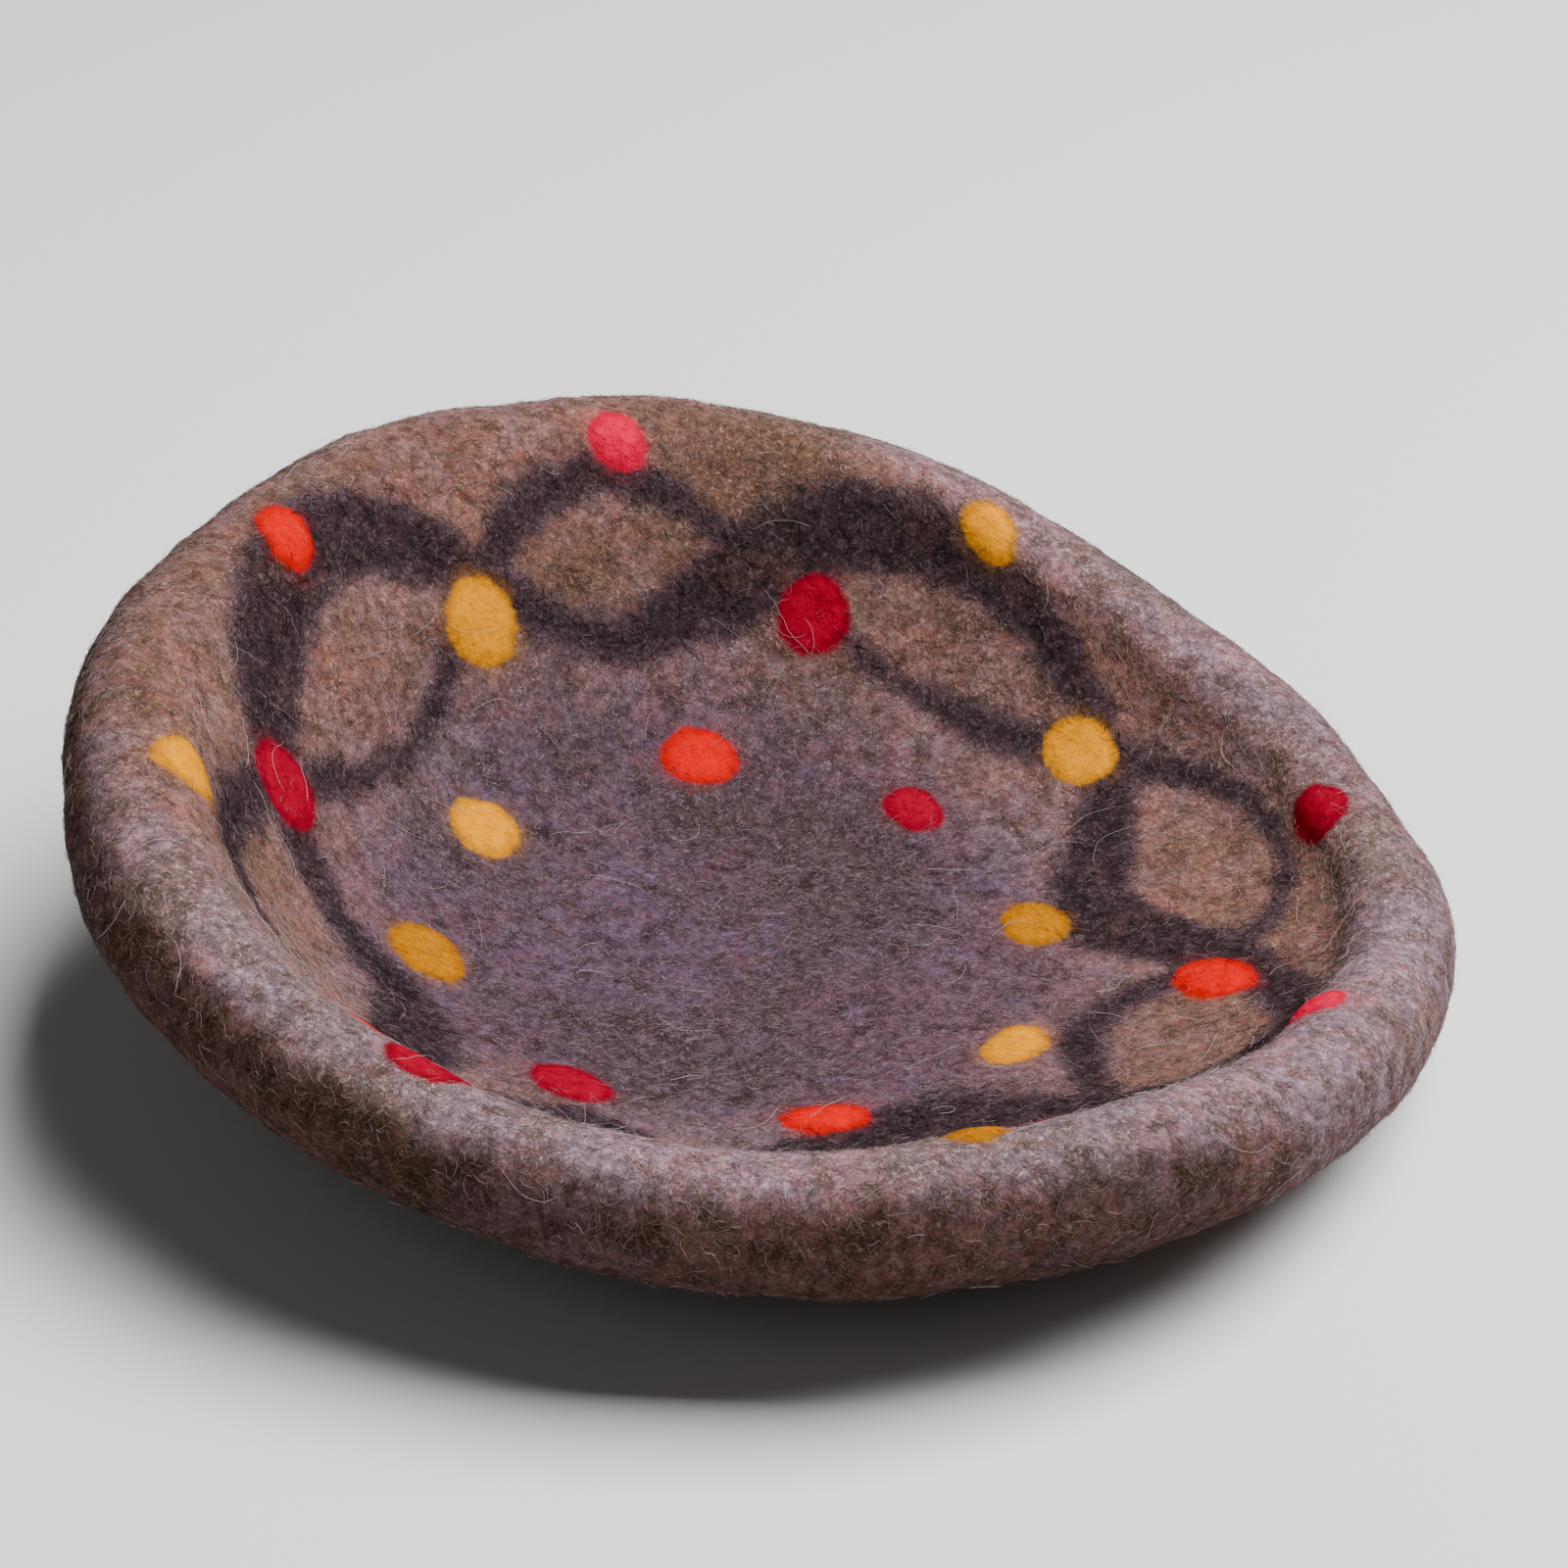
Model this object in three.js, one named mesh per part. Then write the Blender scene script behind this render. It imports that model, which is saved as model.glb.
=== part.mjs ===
// A wet-felted wool cat cave, pushed in from above so that it lies as a double-walled nest.
// It is one seamless shell of thick felt. Seen in section, it runs from the cave's round mouth,
// which lies underneath, out along the base, up the outer wall, over the rolled rim, and down
// the inner wall to the nest's floor. The space between the two walls is open to the mouth.
// Units are millimetres, +Z is up, and the nest stands on z = 0.

import * as THREE from 'three';

const FELT = 7;             // thickness of the felt
const MOUTH_RADIUS = 88;    // radius of the cave's mouth, up to the middle of its rounded lip
const FLOOR_TOP = 25;       // height of the nest's floor at its middle
const CENTRE = { x: 3.65, y: 1.9 };   // middle of the nest's box, seen from the point it is drawn round

const FELT_COLOUR = 0x7a6460;

// One row for each section round the nest, at even angles. Lengths are in millimetres.
//   reach: how far out the rim goes         crest: height of the rim's top
//   roll: outer diameter of the rim's roll  foot: how far out the flat base goes
//   tuck: how far below level the outer wall leaves the roll, in degrees
//   lean: how far round from level, over the top, the inner wall leaves the roll, in degrees
//   floor: how far out the nest's floor stays nearly level
const SECTIONS = [
  { angle: 0,   reach: 250, crest: 60,  roll: 42, foot: 190, tuck: 60, lean: 150, floor: 150 },
  { angle: 30,  reach: 245, crest: 76,  roll: 44, foot: 176, tuck: 46, lean: 148, floor: 150 },
  { angle: 60,  reach: 241, crest: 111, roll: 47, foot: 160, tuck: 36, lean: 146, floor: 150 },
  { angle: 90,  reach: 242, crest: 145, roll: 49, foot: 150, tuck: 34, lean: 145, floor: 154 },
  { angle: 120, reach: 241, crest: 159, roll: 50, foot: 148, tuck: 34, lean: 145, floor: 158 },
  { angle: 150, reach: 242, crest: 159, roll: 50, foot: 148, tuck: 38, lean: 146, floor: 158 },
  { angle: 180, reach: 244, crest: 153, roll: 49, foot: 148, tuck: 46, lean: 148, floor: 154 },
  { angle: 210, reach: 243, crest: 128, roll: 48, foot: 146, tuck: 54, lean: 152, floor: 148 },
  { angle: 240, reach: 238, crest: 101, roll: 44, foot: 142, tuck: 60, lean: 158, floor: 140 },
  { angle: 270, reach: 238, crest: 88,  roll: 45, foot: 146, tuck: 62, lean: 160, floor: 138 },
  { angle: 300, reach: 245, crest: 87,  roll: 47, foot: 156, tuck: 62, lean: 160, floor: 142 },
  { angle: 330, reach: 247, crest: 73,  roll: 44, foot: 174, tuck: 62, lean: 155, floor: 148 },
];

// Slow waves round the rim, which keep it as uneven as hand-felted wool.
const WAVES = [
  { turns: 5,  start: 20,  reach: 0.8, crest: 0.9 },
  { turns: 9,  start: 130, reach: 0.5, crest: 0.7 },
  { turns: 14, start: 75,  reach: 0.4, crest: 0.5 },
];

// Places where the rim is pulled out or in, and up or down, over a width in degrees.
const PULLS = [
  { angle: 64,  wide: 10, reach: 2.0,  crest: 2.0 },
  { angle: 81,  wide: 15, reach: -1.0, crest: -2.5 },
  { angle: 134, wide: 14, reach: 0.8,  crest: 3.5 },
  { angle: 156, wide: 10, reach: -6.0, crest: -2.0 },
  { angle: 211, wide: 22, reach: 1.5,  crest: 0.0 },
];

// Shape of the two curved walls, as shares of the length that each curve spans.
const FOOT_RUN = 0.30;      // how far the outer wall runs level before it rises
const NECK_RUN = 0.25;      // how far it keeps the roll's direction below the roll
const BOWL_DROP = 0.75;     // how far the inner wall keeps the roll's direction

const AROUND = 72;          // sections in the finished mesh
const STEPS = { base: 2, wall: 7, roll: 10, bowl: 10, lip: 4 };

const radians = THREE.MathUtils.degToRad;

// Smooth value of one column of the table at any angle, going round without a seam.
function around(column, angle) {
  const count = SECTIONS.length;
  const place = (angle / 360) * count;
  const row = Math.floor(place);
  const t = place - row;
  const value = (step) => SECTIONS[(row + step + count) % count][column];
  const [a, b, c, d] = [value(-1), value(0), value(1), value(2)];
  return 0.5 * (2 * b + (c - a) * t + (2 * a - 5 * b + 4 * c - d) * t * t
    + (3 * b - 3 * c + d - a) * t * t * t);
}

function uneven(column, angle) {
  const waves = WAVES.reduce((sum, row) => (
    sum + row[column] * Math.sin(radians(row.turns * angle + row.start))), 0);
  return PULLS.reduce((sum, row) => {
    const away = ((((angle - row.angle + 180) % 360) + 360) % 360) - 180;
    return sum + row[column] * Math.exp(-((away / row.wide) ** 2));
  }, waves);
}

// Points of the felt's outer face in one section, as (distance out, height), from the mouth's
// lip to the middle of the nest's floor.
function faceOfSection(angle) {
  const radius = around('roll', angle) / 2;
  const reach = around('reach', angle) + uneven('reach', angle);
  const crest = around('crest', angle) + uneven('crest', angle);
  const centre = new THREE.Vector2(reach - radius, crest - radius);
  const foot = new THREE.Vector2(around('foot', angle), 0);
  const tuck = -radians(around('tuck', angle));
  const lean = radians(around('lean', angle));

  const onRoll = (turn) => (
    new THREE.Vector2(Math.cos(turn), Math.sin(turn)).multiplyScalar(radius).add(centre));
  const alongRoll = (turn) => new THREE.Vector2(-Math.sin(turn), Math.cos(turn));

  const neck = onRoll(tuck);
  const span = neck.distanceTo(foot);
  const wall = new THREE.CubicBezierCurve(
    foot,
    new THREE.Vector2(foot.x + span * FOOT_RUN, 0),
    neck.clone().addScaledVector(alongRoll(tuck), -span * NECK_RUN),
    neck,
  );

  const brow = onRoll(lean);
  const bowl = new THREE.CubicBezierCurve(
    brow,
    brow.clone().addScaledVector(alongRoll(lean), (brow.y - FLOOR_TOP) * BOWL_DROP),
    new THREE.Vector2(around('floor', angle), FLOOR_TOP),
    new THREE.Vector2(0, FLOOR_TOP),
  );

  const points = [];
  const lipEnd = MOUTH_RADIUS + FELT / 2;
  for (let step = 0; step < STEPS.base; step += 1) {
    points.push(new THREE.Vector2(THREE.MathUtils.lerp(lipEnd, foot.x, step / STEPS.base), 0));
  }
  points.push(...wall.getPoints(STEPS.wall));
  for (let step = 1; step <= STEPS.roll; step += 1) {
    points.push(onRoll(THREE.MathUtils.lerp(tuck, lean, step / STEPS.roll)));
  }
  points.push(...bowl.getPoints(STEPS.bowl).slice(1));
  return points;
}

// The same points moved square to the face by the felt's thickness, to its hidden side.
function backOfSection(face) {
  return face.map((point, index) => {
    const before = face[Math.max(index - 1, 0)];
    const after = face[Math.min(index + 1, face.length - 1)];
    const along = after.clone().sub(before).normalize();
    const inward = new THREE.Vector2(-along.y, along.x);
    return point.clone().addScaledVector(inward, FELT);
  });
}

// A whole section as one loop: the face from the mouth to the middle of the floor, the back from
// there to the mouth, and the rounded lip that joins them.
function sectionLoop(angle) {
  const face = faceOfSection(angle);
  const back = backOfSection(face);
  back[0].set(MOUTH_RADIUS + FELT / 2, FELT);
  back[back.length - 1].set(0, FLOOR_TOP - FELT);
  const lip = [];
  for (let step = 1; step < STEPS.lip; step += 1) {
    const turn = Math.PI * (0.5 + step / STEPS.lip);
    lip.push(new THREE.Vector2(
      MOUTH_RADIUS + FELT / 2 + (FELT / 2) * Math.cos(turn),
      (FELT / 2) * (1 + Math.sin(turn)),
    ));
  }
  return { face, back: back.reverse(), lip };
}

// Closed mesh of the shell. Each section is a row of points, and the two middle points of the
// floor, on its face and on its back, are shared by all the sections.
function shellGeometry() {
  const positions = [];
  const rows = [];
  const addPoint = (x, y, z) => {
    positions.push(x - CENTRE.x, y - CENTRE.y, z);
    return positions.length / 3 - 1;
  };
  const floorFace = addPoint(0, 0, FLOOR_TOP);
  const floorBack = addPoint(0, 0, FLOOR_TOP - FELT);

  for (let step = 0; step < AROUND; step += 1) {
    const angle = (360 * step) / AROUND;
    const place = (point) => addPoint(
      point.x * Math.cos(radians(angle)), point.x * Math.sin(radians(angle)), point.y);
    const { face, back, lip } = sectionLoop(angle);
    rows.push([
      floorBack,
      ...back.slice(1).map(place),
      ...lip.map(place),
      ...face.slice(0, -1).map(place),
      floorFace,
    ]);
  }

  const faces = [];
  rows.forEach((row, index) => {
    const next = rows[(index + 1) % rows.length];
    for (let step = 0; step < row.length - 1; step += 1) {
      const [a, b, c, d] = [row[step], next[step], next[step + 1], row[step + 1]];
      if (a !== b) {
        faces.push(a, b, c);
      }
      if (c !== d) {
        faces.push(a, c, d);
      }
    }
  });

  const geometry = new THREE.BufferGeometry();
  geometry.setAttribute('position', new THREE.Float32BufferAttribute(positions, 3));
  geometry.setIndex(faces);
  geometry.computeVertexNormals();
  return geometry;
}

function feltShell() {
  const material = new THREE.MeshStandardMaterial({
    color: FELT_COLOUR,
    roughness: 0.97,
    metalness: 0,
  });
  const mesh = new THREE.Mesh(shellGeometry(), material);
  mesh.name = 'felt_shell';
  return mesh;
}

const catCave = new THREE.Group();
catCave.add(feltShell());

export default catCave;
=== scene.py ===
"""A cat cave of wet-felted wool, pushed in from above so that it lies as a double-walled nest.

The felt is one closed shell, made again here on the part's own section table, finer and with the
small lumps of felted wool. Bands of dyed wool lie flush in it, and spots of it have a low crown:
both are masks on its points. Loose wool on its surface is made of thin closed strands. Lengths are
in millimetres until a mesh is written, which is in metres.
"""

import math

import bpy
import numpy as np
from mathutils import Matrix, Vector, noise


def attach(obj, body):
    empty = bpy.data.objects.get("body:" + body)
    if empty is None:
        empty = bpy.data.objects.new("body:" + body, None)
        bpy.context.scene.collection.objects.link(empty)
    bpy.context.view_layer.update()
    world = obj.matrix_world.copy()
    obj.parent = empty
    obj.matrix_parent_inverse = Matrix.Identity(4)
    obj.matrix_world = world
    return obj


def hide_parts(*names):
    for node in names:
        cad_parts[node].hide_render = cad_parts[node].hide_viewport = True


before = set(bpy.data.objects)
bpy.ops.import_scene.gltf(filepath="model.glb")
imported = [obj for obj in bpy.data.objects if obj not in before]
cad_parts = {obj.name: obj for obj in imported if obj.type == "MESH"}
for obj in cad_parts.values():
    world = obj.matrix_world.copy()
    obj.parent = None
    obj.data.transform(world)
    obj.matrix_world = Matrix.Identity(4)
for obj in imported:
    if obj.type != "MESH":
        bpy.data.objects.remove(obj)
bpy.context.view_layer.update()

MM = 0.001
TINY = 1e-9

# ---------------------------------------------------------------------------------------------
# The felt shell's sizes, as in the part's source
# ---------------------------------------------------------------------------------------------

FELT = 7.0             # thickness of the felt
MOUTH_RADIUS = 88.0    # the cave's mouth, underneath
FLOOR_TOP = 25.0       # the nest's floor, at its middle
CENTRE = (3.65, 1.9)   # middle of the nest's box, seen from the point it is drawn round

COLUMNS = ("angle", "reach", "crest", "roll", "foot", "tuck", "lean", "floor")
SECTIONS = np.array([
    (0,   250, 60,  42, 190, 60, 150, 150),
    (30,  245, 76,  44, 176, 46, 148, 150),
    (60,  241, 111, 47, 160, 36, 146, 150),
    (90,  242, 145, 49, 150, 34, 145, 154),
    (120, 241, 159, 50, 148, 34, 145, 158),
    (150, 242, 159, 50, 148, 38, 146, 158),
    (180, 244, 153, 49, 148, 46, 148, 154),
    (210, 243, 128, 48, 146, 54, 152, 148),
    (240, 238, 101, 44, 142, 60, 158, 140),
    (270, 238, 88,  45, 146, 62, 160, 138),
    (300, 245, 87,  47, 156, 62, 160, 142),
    (330, 247, 73,  44, 174, 62, 155, 148),
], float)

WAVE_COLUMNS = ("turns", "start", "reach", "crest")
WAVES = np.array([
    (5,  20,  0.8, 0.9),
    (9,  130, 0.5, 0.7),
    (14, 75,  0.4, 0.5),
])

# Places where the rim is pulled out or in, and up or down.
PULL_COLUMNS = ("angle", "wide", "reach", "crest")
PULLS = np.array([
    (64,  10, 2.0,  2.0),
    (81,  15, -1.0, -2.5),
    (134, 14, 0.8,  3.5),
    (156, 10, -6.0, -2.0),
    (211, 22, 1.5,  0.0),
])

# How far the curves' handles run, as shares of the wall's span and of the bowl's depth.
FOOT_RUN = 0.30
NECK_RUN = 0.25
BOWL_DROP = 0.75

# ---------------------------------------------------------------------------------------------
# The finer surface: its steps, lumps, painted shades and the wall's brown
# ---------------------------------------------------------------------------------------------

AROUND = 420                                   # sections in the fine mesh
STEPS = {"base": 8, "wall": 34, "roll": 42, "bowl": 84, "lip": 6}     # along each stretch of one
ROLL_START = STEPS["base"] + STEPS["wall"]     # the step where the wall meets the roll
BACK_ROWS = 56                                 # rows on the felt's hidden side

# Lumps of felted wool: size across and height, in millimetres.
LUMPS = [
    {"across": 75.0, "high": 1.7},
    {"across": 26.0, "high": 1.0},
    {"across": 10.0, "high": 0.55},
]
LUMP_SHIFT = 7.3                               # keeps the kinds of lumps apart
FLAT_BELOW = 10.0                              # lumps fade out towards the floor under this height

# Where the colour changes, from and to a length away from the rim's crest: painted shade outside
# and deep in the bowl, browner wool on the wall.
PAINTED_SHADE_LOW_RUN = (-2.0, 28.0)                       # down the outside: painted shade, darker
PAINTED_SHADE_FOOT_RUN = (32.0, 60.0)                      # down the outside: painted shade, darkest
FOOT_SHARE = 0.5                               # what the foot's painted shade adds to the low one
WALL_SHADE = (6.0, 38.0)                       # down the inside: browner
PAINTED_SHADE_DEEP_RUN = (70.0, 150.0)                     # down the inside: painted shade on the bowl's floor, with a mauve tint

# Two sides of the nest, each with its angle and the cosines of the angle away from it where that
# starts and where it is whole: on the side the light falls on, the painted shade low on the
# outside is weaker, and on the other, the wall's wool is browner nearer the rim.
LIT_SIDE = {"angle": 345.0, "start": 0.70, "whole": 0.98}
LIT_SIDE_SHARE = 0.55                         # how much less painted shade it has there
BROWN_SIDE = {"angle": 140.0, "start": 0.1, "whole": 0.7}
BROWN_SIDE_RIM = 30.0                          # how much nearer to the rim it is brown there


def named(table, columns, name):
    """One column of a table."""
    return table[:, columns.index(name)]


def around(name, angles):
    """Smooth value of one column at any angles, going round without a seam."""
    rows = named(SECTIONS, COLUMNS, name)
    count = len(rows)
    place = np.asarray(angles, float) % 360 / 360 * count
    row = np.floor(place).astype(int)
    t = place - row
    a, b, c, d = (rows[(row + step) % count] for step in (-1, 0, 1, 2))
    return 0.5 * (2 * b + (c - a) * t + (2 * a - 5 * b + 4 * c - d) * t**2
                  + (3 * b - 3 * c + d - a) * t**3)


def degrees_from(angles, middle):
    """The shorter way round from middle to each angle."""
    return (angles - middle + 180) % 360 - 180


def uneven(name, angles):
    """What the slow waves and the pulled places add to a column."""
    turns, start = (named(WAVES, WAVE_COLUMNS, key) for key in ("turns", "start"))
    waves = np.sin(np.radians(np.outer(angles, turns) + start))
    middle, wide = (named(PULLS, PULL_COLUMNS, key) for key in ("angle", "wide"))
    pulls = np.exp(-(degrees_from(angles[:, None], middle) / wide)**2)
    return ((named(WAVES, WAVE_COLUMNS, name) * waves).sum(1)
            + (named(PULLS, PULL_COLUMNS, name) * pulls).sum(1))


def bezier(points, steps):
    """Points along cubic curves, one curve a row. points is four arrays of (rows, 2)."""
    t = np.linspace(0, 1, steps + 1)[None, :, None]
    a, b, c, d = (p[:, None, :] for p in points)
    return (1 - t)**3 * a + 3 * (1 - t)**2 * t * b + 3 * (1 - t) * t**2 * c + t**3 * d


def lengths(rows):
    """Length along each row of points, from its first."""
    steps = np.linalg.norm(np.diff(rows, axis=1), axis=-1)
    return np.concatenate([np.zeros((len(rows), 1)), np.cumsum(steps, 1)], 1)


def face_sections(angles):
    """The felt's outer face: (distance out, height) for each section and step, from the mouth to
    the middle of the floor, and each step's length past the rim's crest."""
    radius = around("roll", angles) / 2
    out = around("reach", angles) + uneven("reach", angles) - radius
    up = around("crest", angles) + uneven("crest", angles) - radius
    tuck = -np.radians(around("tuck", angles))
    lean = np.radians(around("lean", angles))
    foot = np.stack([around("foot", angles), np.zeros_like(radius)], -1)

    def on_roll(turn):
        return np.stack([out + radius * np.cos(turn), up + radius * np.sin(turn)], -1)

    def along_roll(turn):
        return np.stack([-np.sin(turn), np.cos(turn)], -1)

    neck = on_roll(tuck)
    span = np.hypot(*(neck - foot).T)[:, None]
    level = np.array([1.0, 0.0])
    wall = bezier([foot, foot + span * FOOT_RUN * level,
                   neck - along_roll(tuck) * span * NECK_RUN, neck], STEPS["wall"])

    brow = on_roll(lean)
    drop = (brow[:, 1:] - FLOOR_TOP) * BOWL_DROP
    inner = np.stack([around("floor", angles), np.full_like(radius, FLOOR_TOP)], -1)
    middle = np.stack([np.zeros_like(radius), np.full_like(radius, FLOOR_TOP)], -1)
    bowl = bezier([brow, brow + along_roll(lean) * drop, inner, middle], STEPS["bowl"])

    lip = np.array([MOUTH_RADIUS + FELT / 2, 0.0])
    share = np.linspace(0, 1, STEPS["base"], endpoint=False)[None, :, None]
    base = lip + (foot[:, None, :] - lip) * share
    turns = [tuck + (lean - tuck) * k / STEPS["roll"] for k in range(1, STEPS["roll"] + 1)]
    roll = np.stack([on_roll(turn) for turn in turns], 1)
    face = np.concatenate([base, wall, roll, bowl[:, 1:]], 1)

    along = lengths(face)
    crest_at = along[:, ROLL_START] + (math.pi / 2 - tuck) * radius
    return face, along - crest_at[:, None]


def in_space(sections, angles):
    """Points of sections that stand at these angles round the nest."""
    turn = np.radians(angles)[:, None]
    out, up = sections[..., 0], sections[..., 1]
    return np.stack([out * np.cos(turn) - CENTRE[0], out * np.sin(turn) - CENTRE[1], up], -1)


def grid_normals(points):
    """Outward normals of a grid of points that goes round in its first direction, and in its
    second ends at the middle of the floor."""
    across = np.roll(points, -1, 0) - np.roll(points, 1, 0)
    along = np.gradient(points, axis=1)
    normals = np.cross(across, along)
    size = np.linalg.norm(normals, axis=-1, keepdims=True)
    normals = np.where(size > TINY, normals / np.maximum(size, TINY), (0.0, 0.0, 1.0))
    normals[:, -1] = (0.0, 0.0, 1.0)
    return normals


def lump_heights(points):
    flat = points.reshape(-1, 3)
    heights = np.zeros(len(flat))
    for number, lump in enumerate(LUMPS):
        places = (flat / lump["across"] + LUMP_SHIFT * number).tolist()
        heights += lump["high"] * np.array([noise.noise(Vector(p)) for p in places])
    return heights.reshape(points.shape[:2])


def ease(low, high, value):
    """0 up to low, 1 from high on, and smooth between."""
    t = np.clip((value - low) / (high - low), 0, 1)
    return t * t * (3 - 2 * t)


def on_side(side, angles):
    """How far each section belongs to one side of the nest, from 0 to 1."""
    near = np.cos(np.radians(angles - side["angle"]))
    return ease(side["start"], side["whole"], near)[:, None]


class Surface:
    """The felt's outer face as a grid: places, normals, lengths, painted shades, the wall's brown
    and motif masks.
    """

    def __init__(self):
        self.angles = np.linspace(0, 360, AROUND, endpoint=False)
        sections, self.from_crest = face_sections(self.angles)
        self.out = sections[..., 0]
        self.smooth = in_space(sections, self.angles)
        self.smooth_normals = grid_normals(self.smooth)
        self.set_shades()
        self.bands = band_edge(self)
        self.spots, self.spot_number = spot_edge(self)

        rows = np.arange(self.smooth.shape[1])[None, :]
        lumpy = np.where(rows > ROLL_START, 1.0, ease(0, FLAT_BELOW, self.smooth[..., 2]))
        height = lump_heights(self.smooth) * lumpy + SPOT_RISE * ease(*SPOT_CROWN, self.spots)
        self.points = self.smooth + self.smooth_normals * height[..., None]
        self.points[..., 2] = np.maximum(self.points[..., 2], 0.0)
        self.points[:, -1] = self.points[:, -1].mean(0)
        self.normals = grid_normals(self.points)
        self.step_around = math.radians(360 / AROUND)
        self.step_along = np.gradient(self.from_crest, axis=1)

    def set_shades(self):
        """How far each point belongs to the painted shade low on the outside, the brown wall and
        the painted shade deep in the bowl.
        """
        down = -self.from_crest
        # Painted shade low on the outside, weaker on the side the light falls on.
        low = ease(*PAINTED_SHADE_LOW_RUN, down) + FOOT_SHARE * ease(*PAINTED_SHADE_FOOT_RUN, down)
        self.low = low * (1 - LIT_SIDE_SHARE * on_side(LIT_SIDE, self.angles))
        # Painted shade deep in the bowl.
        self.deep_painted_shade = ease(*PAINTED_SHADE_DEEP_RUN, self.from_crest)
        nearer = BROWN_SIDE_RIM * on_side(BROWN_SIDE, self.angles)
        self.wall = ease(*WALL_SHADE, self.from_crest + nearer) * (1 - self.deep_painted_shade)

    def at(self, grid, a, b):
        """Value of a grid at fractional places, a round the nest and b along the section, where a
        place past either end counts as one just inside it."""
        b = np.clip(b, 0, grid.shape[1] - 1.001)
        i, j = np.floor(a).astype(int), np.floor(b).astype(int)
        u, v = a - i, b - j
        if grid.ndim == 3:
            u, v = u[:, None], v[:, None]
        i0, i1 = i % AROUND, (i + 1) % AROUND
        return ((grid[i0, j] * (1 - u) + grid[i1, j] * u) * (1 - v)
                + (grid[i0, j + 1] * (1 - u) + grid[i1, j + 1] * u) * v)


# ---------------------------------------------------------------------------------------------
# The inlaid design: two dark waves that cross all the way round the bowl, and rings of spots
# ---------------------------------------------------------------------------------------------

WOOL = {
    "yellow":  (0.70, 0.262, 0.001),
    "ochre":   (0.44, 0.155, 0.001),
    "orange":  (0.62, 0.001, 0.001),
    "crimson": (0.29, 0.001, 0.017),
    "pink":    (0.72, 0.001, 0.046),
}

CREST_TO_MIDDLE = 280.0     # length from the crest to the middle of the floor, once evened out
LOBES = 4                   # waves in one ribbon
RIBBONS = [
    {"start": 12.0,  "swing": 41.0, "wide": 32.0},
    {"start": 192.0, "swing": 36.0, "wide": 17.0},
]
RIBBON_LINE = 82.0          # the ribbons' middle line, below the crest
DRIFT = 15.0                # how much nearer to the crest it comes at the back
BACK = 100.0                # the angle where it comes nearest
LEAST_OUT = 40.0            # a ribbon's slope is worked out no nearer to the middle than this

# How a ribbon goes uneven on its way round: by how much, how many times, and where that starts,
# as an angle and a share of twice the ribbon's own start.
UNEVEN = {
    "stray": {"much": 16.0, "times": 3, "start": 0.0,  "own": 1.0},    # along itself, in degrees
    "high":  {"much": 0.20, "times": 2, "start": 70.0, "own": 1.0},    # in its waves' height
    "thick": {"much": 0.32, "times": 5, "start": 0.0,  "own": 1.5},    # in its width
}

# Rings of spots: how many, where, how large, and in which colours they follow each other.
SPOT_RINGS = [
    {"count": 8, "first": -6.0, "below": 84.0, "tall": 36.0, "wide": 29.0,
     "colours": ("orange", "yellow", "crimson", "yellow", "crimson", "orange", "yellow", "pink")},
    {"count": 8, "first": 17.0, "below": 20.0, "tall": 31.0, "wide": 25.0,
     "colours": ("crimson", "yellow", "pink", "orange", "yellow", "crimson", "ochre", "pink")},
    {"count": 8, "first": 14.0, "below": 152.0, "tall": 27.0, "wide": 30.0,
     "colours": ("ochre", "crimson", "orange", "yellow")},
]
SPOT_SEED = 11
SPOT_SCATTER = {"angle": 4.0, "below": 5.0, "size": (0.9, 1.12), "lean": 25.0}
SPOT_RISE = 1.5             # crown of a spot above the felt around it
SPOT_CROWN = (-2.0, 8.0)    # lengths inside its edge where the crown starts and is whole
NO_EDGE = -60.0             # far outside every motif


def below_crest(surface):
    """Length below the crest, evened out so that every section's floor middle is at one value."""
    whole = surface.from_crest[:, -1:]
    return np.where(surface.from_crest > 0,
                    surface.from_crest / whole * CREST_TO_MIDDLE, surface.from_crest)


def ribbon_wave(name, ribbon, angles):
    row = UNEVEN[name]
    start = row["start"] + row["own"] * 2.0 * ribbon["start"]
    return row["much"] * np.sin(np.radians(row["times"] * angles + start))


def band_edge(surface):
    """How far each point is inside the nearest ribbon, in millimetres; less than zero outside."""
    angles = surface.angles[:, None]
    below = below_crest(surface)
    line = RIBBON_LINE - DRIFT * np.cos(np.radians(angles - BACK))
    edge = np.full(below.shape, NO_EDGE)
    for ribbon in RIBBONS:
        stray = ribbon_wave("stray", ribbon, angles)
        turn = np.radians(LOBES * angles + ribbon["start"] + stray)
        swing = ribbon["swing"] * (1 + ribbon_wave("high", ribbon, angles))
        middle = line + swing * np.sin(turn)
        slope = swing * LOBES * np.cos(turn) / np.maximum(surface.out, LEAST_OUT)
        wide = ribbon["wide"] * (1 + ribbon_wave("thick", ribbon, angles))
        away = np.abs(below - middle) / np.hypot(1, slope)
        edge = np.maximum(edge, wide / 2 - away)
    return edge


def spot_table():
    """Every spot: angle, length below the crest, half its height and width, its lean, its wool."""
    rng = np.random.default_rng(SPOT_SEED)
    scatter = SPOT_SCATTER
    names = list(WOOL)
    rows = []
    for ring in SPOT_RINGS:
        for number in range(ring["count"]):
            even = ring["first"] + 360 / ring["count"] * number
            rows.append((
                even + rng.uniform(-scatter["angle"], scatter["angle"]),
                ring["below"] + rng.uniform(-scatter["below"], scatter["below"]),
                ring["tall"] / 2 * rng.uniform(*scatter["size"]),
                ring["wide"] / 2 * rng.uniform(*scatter["size"]),
                rng.uniform(-scatter["lean"], scatter["lean"]),
                names.index(ring["colours"][number % len(ring["colours"])]),
            ))
    return rows


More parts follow.
